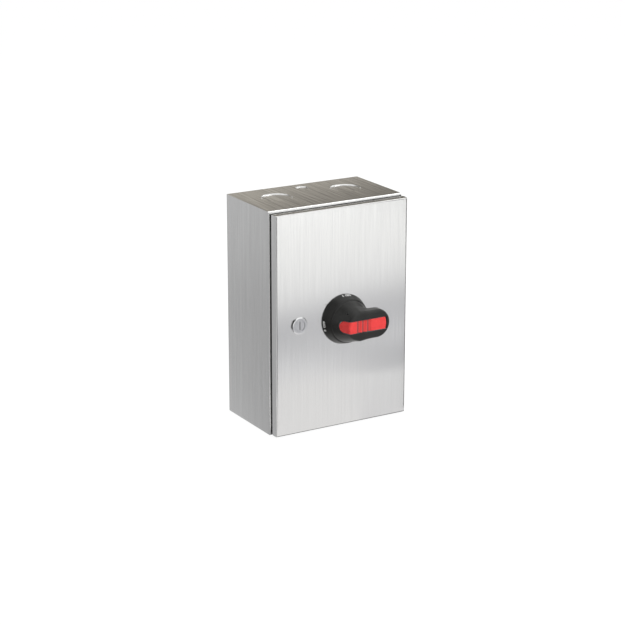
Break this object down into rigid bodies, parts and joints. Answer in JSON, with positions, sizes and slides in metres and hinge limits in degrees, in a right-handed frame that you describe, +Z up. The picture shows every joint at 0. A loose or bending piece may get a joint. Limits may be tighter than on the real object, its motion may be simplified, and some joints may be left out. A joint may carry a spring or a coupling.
{
  "type": "fused disconnect switch",
  "caption": "Stainless wall enclosure with a hinged door, a quarter-turn latch and a black rotary handle with a red padlock bar; inside, a rotary switch feeds cartridge fuses.",
  "frame": {"origin": "centre of the enclosure's flat back face, where it meets the wall", "axes": "+X to the right seen from the front, +Y into the wall, +Z up"},
  "size_m": [0.2, 0.1712, 0.3],
  "materials": {
    "brushed_stainless": "brushed stainless sheet, grain along the folds",
    "zinc_plated": "bright zinc plating",
    "chromed": "chromed die-cast zinc",
    "black_plastic": "moulded black polyamide, fine satin texture",
    "red_plastic": "moulded red polyamide",
    "seal_rubber": "foamed black seal",
    "grey_plastic": "moulded grey polyester",
    "fuse_tube": "fibre tube with plated ferrules",
    "tinned_copper": "tinned copper alloy",
    "aluminium_lug": "plated aluminium",
    "brass_rotor": "machined brass"
  },
  "bodies": {
    "enclosure": {"enclosure_body": "brushed_stainless", "mounting_plate": "zinc_plated", "plate_nut_1": "zinc_plated", "plate_nut_2": "zinc_plated", "plate_nut_3": "zinc_plated", "plate_nut_4": "zinc_plated", "switch_base": "grey_plastic", "switch_cover": "black_plastic", "line_lug_1": "aluminium_lug", "line_screw_1": "zinc_plated", "line_lug_2": "aluminium_lug", "line_screw_2": "zinc_plated", "line_lug_3": "aluminium_lug", "line_screw_3": "zinc_plated", "fuse_base": "grey_plastic", "fuse_1": "fuse_tube", "fuse_2": "fuse_tube", "fuse_3": "fuse_tube", "fuse_clip_upper_1": "tinned_copper", "fuse_clip_lower_1": "tinned_copper", "fuse_clip_upper_2": "tinned_copper", "fuse_clip_lower_2": "tinned_copper", "fuse_clip_upper_3": "tinned_copper", "fuse_clip_lower_3": "tinned_copper", "load_lug_1": "aluminium_lug", "load_screw_1": "zinc_plated", "load_lug_2": "aluminium_lug", "load_screw_2": "zinc_plated", "load_lug_3": "aluminium_lug", "load_screw_3": "zinc_plated", "ground_lug": "aluminium_lug", "ground_screw": "zinc_plated", "hinge_bracket_upper": "zinc_plated", "hinge_bracket_lower": "zinc_plated", "hinge_pin_upper": "zinc_plated", "hinge_pin_lower": "zinc_plated"},
    "door": {"door": "brushed_stainless", "door_gasket": "seal_rubber", "hinge_leaf_upper": "zinc_plated", "hinge_leaf_lower": "zinc_plated", "latch_housing": "chromed", "latch_nut": "zinc_plated", "handle_base": "black_plastic", "handle_gasket": "seal_rubber", "handle_back_plate": "zinc_plated", "handle_screw_1": "zinc_plated", "handle_screw_2": "zinc_plated", "handle_screw_3": "zinc_plated", "handle_screw_4": "zinc_plated"},
    "handle": {"handle_grip": "black_plastic", "shaft_coupler": "zinc_plated"},
    "padlock_bar": {"padlock_bar": "red_plastic"},
    "release_screw": {"release_screw": "zinc_plated"},
    "latch": {"latch_insert": "chromed", "latch_cam": "zinc_plated", "latch_screw": "zinc_plated"},
    "shaft": {"switch_shaft": "zinc_plated", "switch_rotor": "brass_rotor"}
  },
  "joints": [
    {"name": "door_hinge", "type": "hinge", "parent": "enclosure", "child": "door", "pos_m": [0.094, -0.121, 0], "axis": [0, 0, 1], "range_deg": [0, 105]},
    {"name": "handle_turn", "type": "hinge", "parent": "door", "child": "handle", "pos_m": [0.0015, -0.1285, -0.0018], "axis": [0, 1, 0], "range_deg": [0, 90]},
    {"name": "shaft_turn", "type": "hinge", "parent": "enclosure", "child": "shaft", "pos_m": [0.0015, -0.0641, -0.0018], "axis": [0, 1, 0], "range_deg": [0, 90]},
    {"name": "padlock_bar_tilt", "type": "hinge", "parent": "handle", "child": "padlock_bar", "pos_m": [-0.0125, -0.1672, -0.0018], "axis": [0, 0, -1], "range_deg": [0, 18]},
    {"name": "release_screw_turn", "type": "hinge", "parent": "handle", "child": "release_screw", "pos_m": [-0.01173, -0.16017, 0.01396], "axis": [-0.6011, -0.3542, 0.7164], "range_deg": [0, 90]},
    {"name": "latch_turn", "type": "hinge", "parent": "door", "child": "latch", "pos_m": [-0.065, -0.1285, -0.001], "axis": [0, 1, 0], "range_deg": [0, 90]}
  ],
  "couplings": [
    {"joint": "shaft_turn", "follows": "handle_turn", "ratio": 1}
  ]
}
